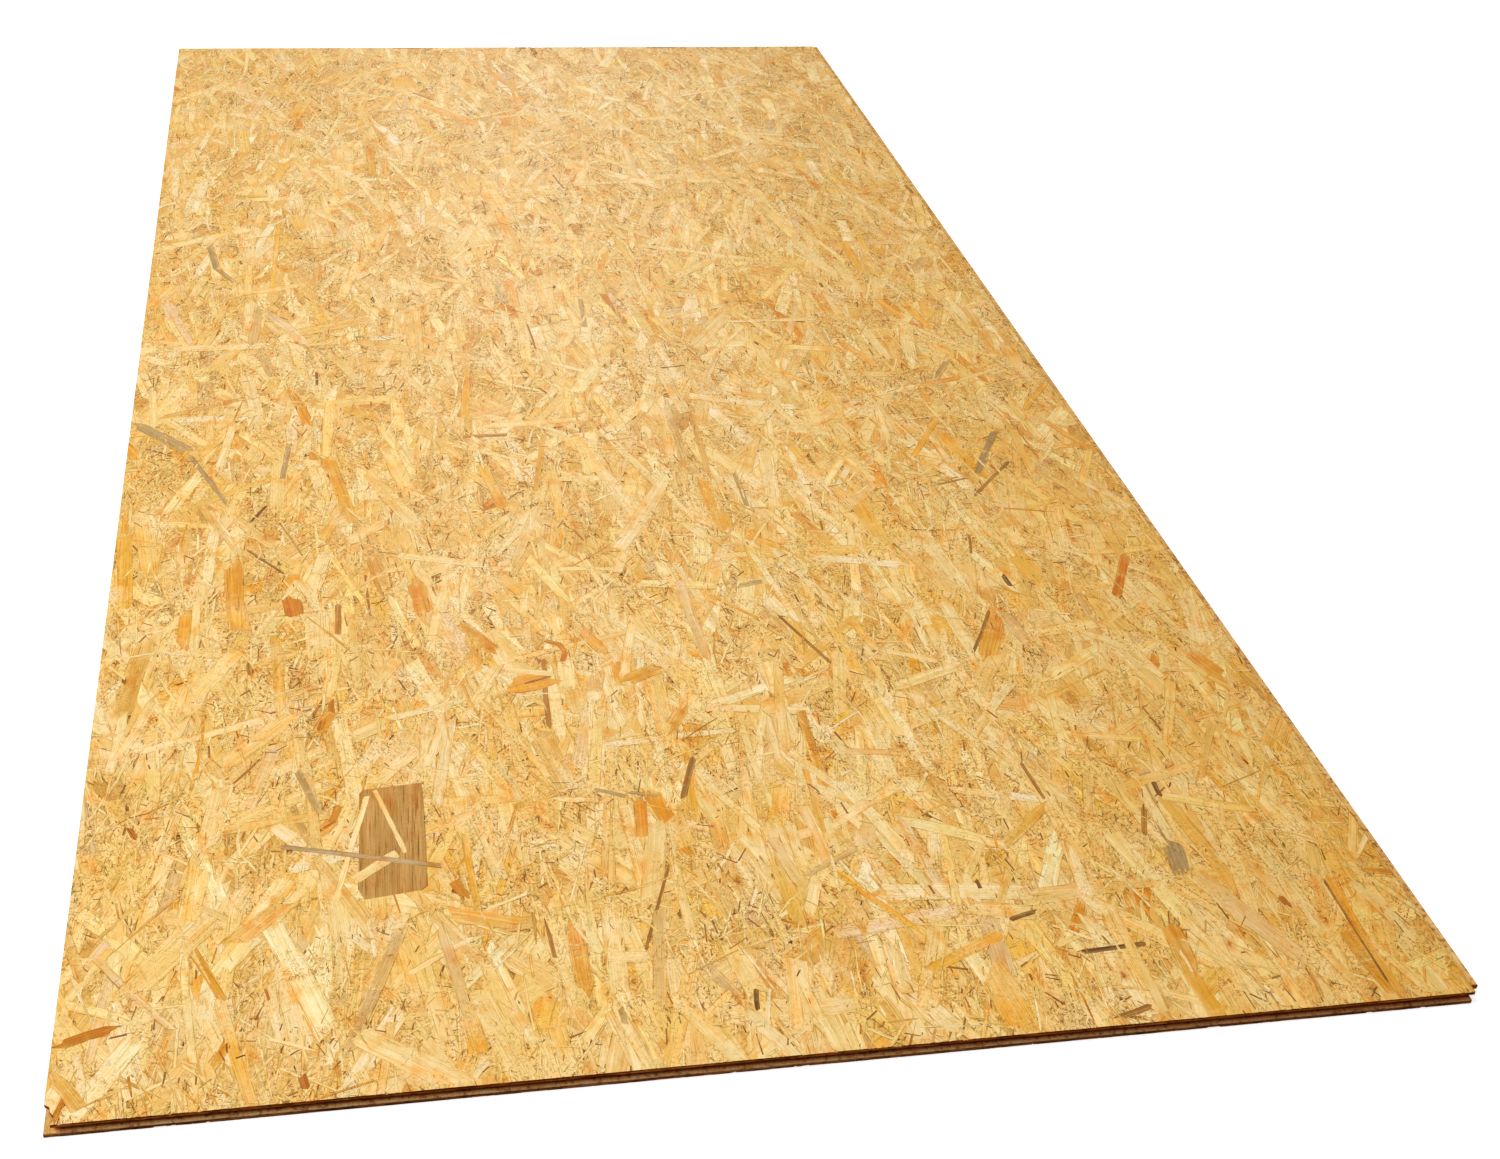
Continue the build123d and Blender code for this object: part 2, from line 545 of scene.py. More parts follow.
def press(batches):
    """Gives each strand its step below the face, and marks the strands that can be seen."""
    covered = np.zeros((grid_rows, grid_columns), bool)
    step = np.zeros((grid_rows, grid_columns), np.int16)
    queue = []
    for at, batch in enumerate(batches):
        batch["kept"] = np.zeros(len(batch["order"]), bool)
        batch["step"] = np.zeros(len(batch["order"]), int)
        queue += [(order, at, index) for index, order in enumerate(batch["order"])]
    for _, at, index in sorted(queue, reverse=True):
        batch = batches[at]
        row, column = cells_of(batch, index)
        shown = np.count_nonzero(~covered[row, column])
        if shown <= least_shown * len(row):
            continue
        level = min(int(step[row, column].max()) + 1, deepest_step)
        step[row, column] = level
        if batch["width"][index] >= thin:
            covered[row, column] = True
        batch["kept"][index] = True
        batch["step"][index] = level
    return covered.mean()


print(f"{deepest_step} steps of {press_step / mm:.3f} mm")

# %% [markdown]
# ## Strands that stand out
#
# Most strands only have to look right together, but some are seen one by one: a square brown flake with pale
# slivers across it, orange heartwood, grey slivers, dark knots. Chance would never put them where they are.
# So they are placed where the photograph shows them, each from end to end in millimetres from the near left
# corner, with a width and a tone. The flake and the knots have tables of their own, because they lie on top
# of everything else.

# %% Place the flake and the knots
brown_flake = [
    (296, 372, 290, 224, 62, "flake"), (279, 368, 304, 278, 5, "cream"), (271, 360, 237, 222, 6, "cream"),
    (262, 352, 248, 300, 4, "cream"), (256, 247, 296, 278, 11, "butter"), (188, 298, 336, 257, 6, "grey"),
]
# how far each end of the flake's strands is cut aslant: the flake's own two ends come first
flake_slants = np.array([(3.5, 4.5), (0.5, 0.5), (1, 1), (0.5, 0.5), (1, -1), (0.5, 1.5)])
knot_wood = [
    (226, 312, 238, 330, 12, "amber"), (236, 326, 244, 350, 7, "copper"), (228, 318, 240, 328, 4, "rust"),
    (346, 236, 356, 214, 9, "copper"), (46, 338, 54, 322, 7, "rust"), (205, 26, 208, 12, 9, "rust"),
    (1124, 133, 1127, 119, 9, "rust"), (240, 510, 241, 484, 6, "copper"),
    (240, 492, 226, 460, 13, "amber"), (232, 482, 227, 464, 6, "copper"), (229, 478, 226, 464, 3, "rust"),
    (200, 698, 204, 662, 20, "copper"), (426, 516, 474, 526, 26, "amber"),
    (426, 546, 474, 534, 9, "cream"), (444, 520, 474, 530, 4, "toffee"),
    (476, 592, 490, 584, 6, "copper"), (488, 588, 495, 570, 6, "copper"),
    (495, 572, 489, 554, 6, "copper"),
]
print(f"{len(brown_flake)} strands at the flake, {len(knot_wood)} at the knots")

# %% Place the other strands that stand out
near_third = [
    (280, 378, 320, 420, 16, "cream"), (324, 304, 376, 326, 12, "cream"), (204, 404, 226, 340, 8, "grey"),
    (108, 180, 140, 112, 8, "amber"), (4, 80, 52, 94, 10, "copper"), (2, 52, 28, 12, 14, "ochre"),
    (136, 116, 164, 4, 11, "honey"), (298, 128, 356, 164, 6, "bone"), (330, 180, 346, 80, 11, "taupe"),
    (340, 196, 400, 176, 18, "ochre"), (345, 84, 352, 32, 17, "ochre"), (146, 180, 192, 224, 20, "ochre"),
    (60, 132, 124, 212, 28, "butter"), (132, 388, 120, 304, 22, "cream"), (252, 64, 332, 4, 24, "cream"),
    (362, 296, 366, 196, 8, "ochre"), (42, 370, 43, 362, 4, "bark"), (110, 338, 111, 330, 4, "brown"),
    (602, 386, 580, 326, 9, "brown"), (536, 328, 530, 276, 12, "amber"),
    (566, 302, 570, 258, 24, "honey"), (550, 236, 510, 132, 4, "brown"), (532, 180, 512, 64, 12, "taupe"),
    (450, 172, 450, 88, 16, "amber"), (476, 126, 512, 124, 14, "bone"), (600, 76, 596, 52, 6, "bark"),
    (477, 68, 479, 50, 6, "grey"), (760, 380, 820, 370, 10, "tan"), (712, 356, 708, 264, 6, "ochre"),
    (720, 276, 804, 326, 14, "cream"), (760, 80, 840, 116, 12, "ochre"), (816, 76, 826, 4, 32, "ochre"),
    (676, 208, 736, 240, 7, "taupe"), (656, 262, 668, 202, 12, "beige"), (528, 340, 556, 332, 5, "grey"),
    (494, 348, 524, 334, 5, "grey"), (450, 338, 492, 332, 8, "cream"), (628, 145, 629, 136, 4, "brown"),
    (838, 186, 839, 174, 5, "bark"), (854, 132, 882, 140, 7, "bark"), (904, 86, 970, 90, 7, "bark"),
    (954, 140, 954, 4, 10, "butter"), (1002, 110, 1000, 52, 18, "amber"), (910, 8, 946, 18, 8, "brown"),
    (1158, 320, 1198, 220, 9, "cream"), (1054, 172, 1110, 52, 22, "beige"),
    (1026, 228, 1042, 268, 7, "toffee"), (1066, 302, 1064, 280, 7, "bark"),
    (1222, 160, 1250, 152, 8, "amber"), (938, 344, 944, 288, 5, "brown"),
    (1214, 340, 1250, 388, 26, "ochre"), (1184, 156, 1181, 4, 9, "ochre"),
    (1178, 150, 1175, 20, 3, "brown"), (882, 228, 942, 280, 12, "honey"),
    (1176, 326, 1177, 318, 4, "bark"),
]
middle_third = [
    (136, 776, 142, 640, 20, "amber"), (10, 836, 18, 692, 18, "ochre"), (340, 722, 348, 644, 20, "amber"),
    (230, 664, 230, 584, 28, "cream"), (252, 680, 250, 624, 9, "toffee"), (296, 476, 378, 500, 9, "bone"),
    (316, 772, 420, 742, 12, "bone"), (140, 600, 104, 536, 20, "cream"), (98, 696, 96, 604, 11, "cream"),
    (200, 492, 132, 420, 20, "cream"), (182, 628, 188, 492, 12, "honey"),
    (384, 632, 420, 576, 14, "amber"), (86, 680, 84, 616, 14, "ochre"), (44, 674, 86, 732, 5, "cream"),
    (150, 796, 192, 744, 4, "brown"), (26, 570, 27, 558, 6, "bark"), (155, 582, 157, 560, 8, "brown"),
    (552, 512, 592, 536, 18, "amber"), (470, 560, 462, 444, 7, "toffee"),
    (744, 616, 782, 524, 5, "brown"), (710, 676, 740, 682, 8, "grey"), (676, 660, 720, 612, 6, "ochre"),
    (716, 840, 720, 792, 24, "ochre"), (740, 776, 780, 748, 14, "ochre"),
    (644, 692, 648, 540, 12, "beige"), (424, 736, 456, 730, 10, "bone"),
    (438, 720, 460, 684, 18, "ochre"), (514, 616, 536, 568, 14, "amber"),
    (584, 428, 606, 466, 14, "amber"), (896, 836, 908, 740, 22, "ochre"),
    (958, 756, 970, 672, 22, "cream"), (1002, 612, 958, 516, 20, "amber"),
    (990, 604, 946, 528, 5, "brown"), (1196, 700, 1150, 616, 11, "copper"),
    (1194, 508, 1214, 456, 20, "amber"), (1030, 672, 1032, 648, 8, "bark"),
    (1070, 568, 1126, 520, 10, "cream"), (1060, 720, 1072, 656, 32, "honey"),
    (842, 476, 926, 508, 16, "cream"), (1006, 600, 1014, 536, 18, "taupe"),
    (1068, 768, 1072, 728, 22, "cream"), (834, 548, 902, 516, 8, "cream"),
    (1076, 802, 1080, 772, 18, "amber"),
]
far_part = [
    (237, 1216, 237, 1179, 5, "brown"), (6, 1091, 75, 1022, 18, "grey"), (78, 1010, 125, 897, 7, "grey"),
    (200, 1029, 191, 947, 7, "grey"), (230, 1009, 232, 990, 11, "amber"),
    (134, 1006, 135, 992, 8, "amber"), (419, 1032, 478, 1032, 9, "toffee"),
    (362, 908, 376, 924, 12, "copper"), (250, 985, 275, 841, 16, "ochre"),
    (438, 960, 456, 860, 16, "ochre"), (525, 1029, 500, 897, 7, "ochre"),
    (700, 1097, 700, 960, 10, "taupe"), (728, 1066, 722, 922, 9, "tan"),
    (666, 1079, 644, 1041, 10, "tan"), (709, 1197, 744, 1202, 3, "bark"),
    (800, 1235, 775, 1179, 8, "taupe"), (1125, 1191, 1091, 1141, 10, "grey"),
    (1062, 1079, 1062, 1122, 9, "amber"), (1062, 1122, 1125, 1141, 10, "amber"),
    (1244, 1116, 1188, 1047, 9, "ochre"), (1122, 919, 1050, 841, 6, "brown"),
    (1056, 1029, 1000, 941, 9, "ochre"), (172, 888, 153, 854, 4, "bark"), (6, 885, 9, 841, 7, "amber"),
    (756, 919, 756, 841, 7, "grey"), (712, 910, 712, 841, 14, "ochre"), (84, 1622, 96, 1540, 11, "grey"),
    (96, 1540, 122, 1494, 9, "grey"), (533, 1722, 554, 1580, 16, "ochre"),
    (222, 1727, 228, 1667, 34, "honey"), (992, 1597, 1033, 1463, 20, "cream"),
    (1033, 1597, 1058, 1513, 10, "cream"), (1075, 1588, 1075, 1480, 14, "ochre"),
    (742, 1592, 917, 1530, 12, "cream"), (242, 1555, 242, 1492, 14, "tan"),
    (321, 1434, 322, 1416, 7, "bark"), (1000, 1446, 1001, 1430, 6, "bark"),
    (1188, 1526, 1158, 1472, 14, "taupe"), (1240, 1806, 1244, 1772, 8, "brown"),
    (1075, 1388, 1096, 1322, 14, "ochre"), (1142, 1380, 1133, 1322, 14, "honey"),
    (188, 1713, 179, 1472, 7, "honey"), (158, 1413, 150, 1297, 14, "taupe"),
    (625, 1413, 621, 1322, 8, "grey"), (642, 1872, 654, 1813, 4, "brown"),
    (429, 2258, 467, 2217, 6, "toffee"), (617, 2308, 621, 2192, 12, "ochre"),
    (342, 2000, 342, 1883, 14, "ochre"), (122, 2313, 128, 2253, 36, "beige"),
    (104, 2083, 108, 2008, 8, "ochre"), (414, 2338, 420, 2278, 44, "honey"),
    (492, 2142, 533, 2033, 6, "taupe"), (575, 2400, 608, 2292, 8, "ochre"),
    (1158, 2492, 1200, 2258, 6, "tan"), (404, 2496, 460, 2496, 5, "rust"),
    (906, 2496, 968, 2496, 5, "rust"),
]
placed_strands = near_third + middle_third + far_part
print(f"{len(placed_strands)} strands placed by hand")

# %% Shape the strands that stand out
# how much of the width a ragged strand loses at its ends, and how often
end_losses, loss_odds = [0.05, 0.35, 0.75], [0.4, 0.3, 0.3]
# dark slivers are torn to a point, and orange heartwood lies in leaves, cut from around a knot
torn_tones, torn_ends, torn_width = ("bark", "brown", "rust", "toffee"), (0.15, 0.5), 0.8
leaf_tones, leaf_ends, leaf_width = ("amber", "copper"), (0.08, 0.55), 1.08
# the range of orders that one table takes up
table_order = 0.05
# how far a strand turns to honey along its length
honey_shares, usual_honey = {"amber": 0.8, "ochre": 0.7, "copper": 0.5}, 0.3
tint_power = 1.5


def stand_outs(rng, table, lowest, ragged, slant=None, clean=0.95):
    """A batch of strands from a table. Later rows lie on top of earlier ones."""
    ends = np.array([row[:4] for row in table]) * mm
    corner = np.array([-half_width, -half_length])
    start, stop = ends[:, :2] + corner, ends[:, 2:] + corner
    names = [row[5] for row in table]
    count = len(table)
    blunt = 1 - ragged * rng.choice(end_losses, (count, 2), p=loss_odds)
    torn = np.isin(names, torn_tones) & (ragged > 0.5)
    blunt[torn] = rng.uniform(*torn_ends, (torn.sum(), 2))
    leaf = np.isin(names, leaf_tones)
    blunt[leaf] = rng.uniform(*leaf_ends, (leaf.sum(), 2))
    widen = np.where(torn, torn_width, np.where(leaf, leaf_width, 1.0))
    width = np.array([row[4] for row in table]) * mm * widen
    turn, length = np.arctan2(*(stop - start).T), np.hypot(*(stop - start).T)
    batch = shape_strands(rng, (start + stop) / 2, turn, length, width, full_outline, blunt, ragged, slant)
    batch["tone"] = np.array([srgb(*tones[name]) for name in names]) * rng.normal(1, bright_drift, (count, 1))
    honey = np.array([honey_shares.get(name, usual_honey) for name in names])[:, None]
    batch["second_tone"] = batch["tone"] * (1 - honey) + np.array(srgb(*tones["honey"])) * honey
    batch["tint"] = rng.random((count, 2 * full_outline)) ** tint_power * ragged
    batch["clean"] = np.full(count, clean)
    batch["seed"] = rng.uniform(0, most_seed, count)
    batch["order"] = lowest + table_order * np.arange(count) / count
    batch["settle"] = rng.uniform(0, most_settle, count)
    return batch


placed = np.random.default_rng(seed=1250)
flake_slant = flake_slants * mm
top_batches = {
    "brown_flake": stand_outs(placed, brown_flake, lowest=1.01, ragged=0.25, slant=flake_slant, clean=1.0),
    "knot": stand_outs(placed, knot_wood, lowest=1.01, ragged=0.6, clean=0.98),
    "stand_out": stand_outs(placed, placed_strands, lowest=0.87, ragged=1.0),
}
print("shaped:", {name: len(batch["order"]) for name, batch in top_batches.items()})

# %% Strew and press the upper face
rng = np.random.default_rng(seed=2500)
patches = smooth_field(rng, patch_size)
top_batches.update({name: strew(rng, kind, patches) for name, kind in kinds.items()})
shown_share = press(list(top_batches.values()))
for name, batch in top_batches.items():
    print(f"{name}: {batch['kept'].sum()} of {len(batch['kept'])} seen, deepest step {batch['step'].max()}")
print(f"strands cover {shown_share:.1%} of the face")

# %% [markdown]
# ## Meshes from arrays
#
# Each strand becomes a thin closed block: a top, a bottom on the mat and walls that lean out a little. An
# object for each strand would be slow to draw and to export, so all the blocks of a kind go into one
# mesh. Every point also carries what the material needs: the strand's tone, its place along and across
# the grain, how near it is to the strand's rim and how deep it lies. A map named OFBake gives each strand
# a patch of its own, so that a baked picture keeps the strands apart.

# %% Number the corners of a block
def block_faces(stations):
    """The corners of one block's faces, with the bottom first and the top last."""
    a, b = np.arange(stations), np.arange(stations) + stations
    low_a, low_b = a + 2 * stations, b + 2 * stations
    bottom = np.stack([low_b[:-1], low_b[1:], low_a[1:], low_a[:-1]], 1)
    side_a = np.stack([low_a[:-1], low_a[1:], a[1:], a[:-1]], 1)
    side_b = np.stack([low_b[1:], low_b[:-1], b[:-1], b[1:]], 1)
    ends = np.array([[low_b[0], low_a[0], a[0], b[0]], [low_a[-1], low_b[-1], b[-1], a[-1]]])
    top = np.stack([a[:-1], a[1:], b[1:], b[:-1]], 1)
    return np.concatenate([bottom, side_a, side_b, ends, top])


print("faces of a block:", {stations: len(block_faces(stations)) for stations in station_shares})

# %% Work out the points of many blocks
most_lean, lean_share = 0.15 * mm, 0.12


def block_points(batch, chosen, face_height, outward):
    """Points and point values of the chosen strands' blocks. Outward is 1 on the upper face, -1 below."""
    part = {key: value[chosen] for key, value in batch.items()}
    count, stations = part["stations"].shape
    lean = np.minimum(most_lean, lean_share * part["width"])[:, None]
    side = np.repeat([1.0, -1.0], stations)
    end = np.tile(station_shares[stations], 2)
    top = to_face(part, part["along"], part["across"])
    bottom = to_face(part, part["along"] + end * lean * (np.abs(end) == 1), part["across"] + side * lean)
    height = face_height - outward * (part["step"] - 1 + part["settle"]) * press_step
    height = np.repeat(height[:, None], 2 * stations, 1)
    mat_height = np.full_like(height, face_height - outward * skin_depth)
    points = np.concatenate([np.dstack([top, height]), np.dstack([bottom, mat_height])], 1)

    along, across = np.tile(part["along"], 2), np.tile(part["across"], 2)
    fibre = np.dstack([along, across, np.broadcast_to(part["seed"][:, None], along.shape)])
    rim_side, rim_end = (np.broadcast_to(np.tile(values, 2), along.shape) for values in (side, end))
    rim = np.dstack([rim_side, rim_end, np.tile(part["half"], 4)])
    low = np.broadcast_to(np.repeat([0.0, 1.0], 2 * stations), along.shape)
    # two tones run into each other along the strand, and the fourth value says how clean of fines it is
    tint = np.tile(part["tint"], 2)[..., None]
    tone = part["tone"][:, None] * (1 - tint) + part["second_tone"][:, None] * tint
    tone = np.dstack([tone, np.broadcast_to(part["clean"][:, None], along.shape)])
    return dict(points=points, fibre=fibre, rim=rim, low=low, tone=tone, count=count, stations=stations)


print(f"walls lean out by up to {most_lean / mm:.2f} mm")

# %% Give each strand a patch of the baked picture
# the reach of a strand's top and of its walls from the middle of its patch, as a share of the patch
top_patch, wall_patch = 0.40, 0.46


def bake_map(block, first, across_map):
    """A square of the baked picture for each strand: the top in the middle, the walls around it."""
    number = np.arange(first, first + block["count"])[:, None]
    grow = np.where(block["low"] > 0, wall_patch, top_patch)
    along = (number % across_map + 0.5 + grow * block["rim"][..., 1]) / across_map
    across = (number // across_map + 0.5 + grow * block["rim"][..., 0]) / across_map
    return np.dstack([along, across]).reshape(-1, 2)


print(f"strands are {1 - 2 * wall_patch:.0%} of a patch apart in the baked picture")

# %% Build one mesh from many blocks
carried_values = {
    "fibre": ("FLOAT_VECTOR", "vector"),
    "rim": ("FLOAT_VECTOR", "vector"),
    "low": ("FLOAT", "value"),
    "tone": ("FLOAT_COLOR", "color"),
}


def fill(target, name, values, number=np.float32):
    target.foreach_set(name, values.astype(number).ravel())


def build_piece(name, blocks, outward):
    """One mesh object from several sets of blocks."""
    points, faces, maps, start, patch = [], [], [], 0, 0
    across_map = math.ceil(math.sqrt(sum(block["count"] for block in blocks)))
    for block in blocks:
        # on the underside the corners run the other way round, so that the faces look outward
        template = block_faces(block["stations"])[:, ::outward]
        size = 4 * block["stations"]
        corner = (template[None] + (np.arange(block["count"]) * size)[:, None, None]).reshape(-1, 4)
        maps.append(bake_map(block, patch, across_map)[corner.ravel()])
        faces.append(corner + start)
        points.append(block["points"].reshape(-1, 3))
        start += block["count"] * size
        patch += block["count"]
    points, faces, maps = np.concatenate(points), np.concatenate(faces), np.concatenate(maps)
    mesh = bpy.data.meshes.new(name)
    mesh.vertices.add(len(points))
    fill(mesh.vertices, "co", points)
    mesh.loops.add(faces.size)
    fill(mesh.loops, "vertex_index", faces, np.int32)
    mesh.polygons.add(len(faces))
    fill(mesh.polygons, "loop_start", np.arange(0, faces.size, 4), np.int32)
    fill(mesh.uv_layers.new(name="OFBake").uv, "vector", maps)
    for key, (kind, slot) in carried_values.items():
        values = np.concatenate([block[key].reshape(-1, *block[key].shape[2:]) for block in blocks])
        fill(mesh.attributes.new(key, kind, "POINT").data, slot, values)
    mesh.update(calc_edges=True)
    mesh.validate()
    mesh.shade_flat()
    piece = bpy.data.objects.new(name, mesh)
    bpy.context.scene.collection.objects.link(piece)
    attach(piece, "root")
    print(f"{name}: {2 * len(faces)} triangles")
    return piece


print("each point carries", ", ".join(carried_values))

# %% [markdown]
# ## The upper face
#
# Strands in the middle of the face stay whole. Those that reach past the edge will be sawn, and those at
# the near left corner will be broken, where the upper lip of the real panel is missing. Cutting every
# strand would be slow, so the strands to be cut are gathered in pieces of their own. The line of the
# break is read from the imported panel, so it can't drift away from it.

# %% Find the line of the break
break_reach = (0.015, 0.03)
break_points = sorted({
    (round(vertex.co.y, 6), round(vertex.co.x, 6)) for vertex in panel.data.vertices
    if vertex.co.z > thickness - on_face and vertex.co.x < break_reach[0] - half_width
    and vertex.co.y < break_reach[1] - half_length
})
break_line = [Vector((x, y)) for y, x in break_points]
from_corner = [(round((x + half_width) / mm, 1), round((y + half_length) / mm, 1)) for y, x in break_points]
print("break from the corner, mm:", from_corner)

# %% Build the upper face
most_triangles = 190_000
saw_reach = 0.2 * mm


def crosses_edge(batch):
    """Strands that reach past the cover area, which the saw has to cut."""
    place = to_face(batch, batch["along"], batch["across"])
    return (np.abs(place) > (half_width - saw_reach, half_length - saw_reach)).any((1, 2))


def near_break(batch):
    """Strands that reach into the broken corner."""
    nearest = to_face(batch, batch["along"], batch["across"]).min(1)
    return (nearest < (break_reach[0] - half_width, break_reach[1] - half_length)).all(1)


def face_pieces(label, batches, face_height, outward):
    """The pieces of one face: each kind of strand, the border strands and those at the broken corner."""
    pieces, border, corner = [], [], []
    for name, batch in batches.items():
        broken = near_break(batch) & (outward > 0)
        cut = crosses_edge(batch) & ~broken
        for chosen, blocks in ((batch["kept"] & cut, border), (batch["kept"] & broken, corner)):
            if chosen.any():
                blocks.append(block_points(batch, np.flatnonzero(chosen), face_height, outward))
        whole = np.flatnonzero(batch["kept"] & ~cut & ~broken)
        per_strand = 2 * len(block_faces(batch["stations"].shape[1]))
        sets = max(1, math.ceil(len(whole) * per_strand / most_triangles))
        for number, chosen in enumerate(np.array_split(whole, sets)):
            suffix = f"_{number + 1}" if sets > 1 else ""
            blocks = [block_points(batch, chosen, face_height, outward)]
            pieces.append(build_piece(f"{label}_{name}{suffix}", blocks, outward))
    for name, blocks in (("border", border), ("corner", corner)):
        if blocks:
            pieces.append(build_piece(f"{label}_{name}", blocks, outward))
    return pieces


top_pieces = face_pieces("top", top_batches, thickness, 1)
print(f"the upper face has {len(top_pieces)} pieces")

# %% [markdown]
# ## The sawn border and the broken corner
#
# The saw cuts every strand that reaches past the edge. A boolean with a box would do it too, but it is
# slow and fragile on many thin blocks. So each border piece is cut by a plane along each side of the
# cover area, what lies outside is taken away and the cut ends are closed. The corner strands are cut into
# bands as well, one for each straight run of the break.

# %% Saw the border strands flush
cut_precision = 1e-7


def cut_off(work, place, outward):
    """Takes away what lies outward of a plane and closes the cut."""
    cut = bmesh.ops.bisect_plane(
        work, geom=work.verts[:] + work.edges[:] + work.faces[:], dist=cut_precision,
        plane_co=place, plane_no=outward, clear_outer=True,
    )
    cut_edges = [item for item in cut["geom_cut"] if isinstance(item, bmesh.types.BMEdge)]
    bmesh.ops.edgeloop_fill(work, edges=cut_edges)


def saw(pieces):
    """Cuts the border and corner pieces along the four sides of the cover area."""
    for piece in pieces:
        if not piece.name.endswith(("border", "corner")):
            continue
        work = bmesh.new()
        work.from_mesh(piece.data)
        for outward in (Vector((1, 0, 0)), Vector((-1, 0, 0)), Vector((0, 1, 0)), Vector((0, -1, 0))):
            cut_off(work, Vector((outward.x * half_width, outward.y * half_length, 0)), outward)
        work.to_mesh(piece.data)
        work.free()
        print(f"{piece.name} sawn: {len(piece.data.polygons)} faces")


saw(top_pieces)

# %% Break the near left corner
def break_corner(piece):
    """Cuts the corner strands into bands between the points of the break, each ending at the broken line."""
    finished = bmesh.new()
    levels = [point.y for point in break_line] + [half_length]
    for number, (near, far) in enumerate(zip(levels, levels[1:])):
        band = bmesh.new()
        band.from_mesh(piece.data)
        cut_off(band, Vector((0, near, 0)), Vector((0, -1, 0)))
        cut_off(band, Vector((0, far, 0)), Vector((0, 1, 0)))
        if number + 1 < len(break_line):
            run = break_line[number + 1] - break_line[number]
            cut_off(band, Vector((*break_line[number], 0)), Vector((-run.y, run.x, 0)))
        part = bpy.data.meshes.new("band")
        band.to_mesh(part)
        band.free()
        finished.from_mesh(part)
        bpy.data.meshes.remove(part)
    finished.to_mesh(piece.data)
    finished.free()
    print(f"{piece.name} broken: {len(piece.data.polygons)} faces")


break_corner(next(piece for piece in top_pieces if piece.name == "top_corner"))

# %% [markdown]
# ## The underside
#
# The lower face is pressed in the same way. It could be left bare, but the panel may be turned over in
# another scene. It is seldom seen, so it is made of fewer and mostly broad strands.

# %% Strew, press and saw the lower face
under_shares = {"bed": 0.95, "strand": 0.35, "splinter": 0.12, "dust": 0.06, "speck": 0.10}
under_patches = smooth_field(rng, patch_size)
under_batches = {name: strew(rng, kinds[name], under_patches, share) for name, share in under_shares.items()}
under_shown = press(list(under_batches.values()))
under_pieces = face_pieces("under", under_batches, 0.0, -1)
saw(under_pieces)
print(f"strands cover {under_shown:.1%} of the underside")

# %% [markdown]
# ## Grain
#
# Split wood shows its fibres as fine lines along the strand, broader bands where the growth rings are
# cut, and small dark pores and cracks. A Wave texture would give lines too, but too even ones. Here all
# of them are noise that is stretched along the grain. The strands bring their own grain coordinates, so
# one node group serves every strand, whichever way it lies.

# %% Make noise
def noise(tree, place, scale=1.0, detail=2.0):
    sockets = {"Vector": place, "Scale": scale, "Detail": detail}
    return put(tree, "ShaderNodeTexNoise", sockets).outputs["Fac"]


def scaled(tree, vector, factors):
    return put(tree, "ShaderNodeVectorMath", {0: vector, 1: factors}, operation="MULTIPLY").outputs[0]


def stretched_noise(tree, place, changes, detail=2.0):
    """Noise with the given number of changes in a metre along each of the three axes."""
    return noise(tree, scaled(tree, place, changes), detail=detail)


def new_group(name, inputs, outputs):
    """An empty shader node group with named sockets, and its two end nodes."""
    group = bpy.data.node_groups.new(name, "ShaderNodeTree")
    for way, sockets in (("INPUT", inputs), ("OUTPUT", outputs)):
        for socket, kind in sockets.items():
            group.interface.new_socket(socket, in_out=way, socket_type="NodeSocket" + kind)
    return group, group.nodes.new("NodeGroupInput"), group.nodes.new("NodeGroupOutput")


print("noise helpers:", ", ".join(helper.__name__ for helper in (noise, scaled, stretched_noise, new_group)))

# %% Make the grain group
grain, grain_in, grain_out = new_group(
    "wood_grain", {"Fibre": "Vector"}, {"Shade": "Float", "Blush": "Float", "Height": "Float"}
)
grain_place = grain_in.outputs["Fibre"]
# changes in a metre along the grain, across it, and from strand to strand
fine = stretched_noise(grain, grain_place, (24, 1000, 1))
rings = stretched_noise(grain, grain_place, (7, 330, 1), detail=1.0)
bands = stretched_noise(grain, grain_place, (9, 75, 1), detail=1.0)
pores = stretched_noise(grain, grain_place, (100, 1500, 1), detail=1.0)
cracks = stretched_noise(grain, grain_place, (26, 1100, 1), detail=0.0)
grain_shade = times(
    grain,
    spread(grain, fine, (0.3, 0.7), (0.86, 1.09)),
    spread(grain, rings, (0.3, 0.7), (0.90, 1.07)),
    spread(grain, bands, (0.3, 0.7), (0.93, 1.05)),
    spread(grain, pores, (0.68, 0.76), (1.0, 0.70)),
    spread(grain, cracks, (0.70, 0.76), (1.0, 0.62)),
)
blush = stretched_noise(grain, grain_place, (16, 55, 1), detail=1.0)
grain.links.new(grain_shade, grain_out.inputs["Shade"])
grain.links.new(spread(grain, blush, (0.52, 0.74), (0.0, 1.0)), grain_out.inputs["Blush"])
grain.links.new(math_node(grain, "ADD", fine, rings), grain_out.inputs["Height"])
print(f"grain group: {len(grain.nodes)} nodes")

# %% [markdown]
# ## Fines
#
# Between and upon the broad strands lie fines: chips too small to place one by one. They show as short pale
# strokes with dark gaps between them, thicker in some patches than in others; the dark gaps are painted shade
# between the chips. More meshes would cost too many triangles, so they are drawn in the material. Each layer
# of strokes is noise stretched along one direction, of which only the peaks or the hollows are kept.

# %% Make the fines group
fines, fines_in, fines_out = new_group("fines", {"Place": "Vector"}, {"Light": "Float", "Dark": "Float"})
fines_place = fines_in.outputs["Place"]
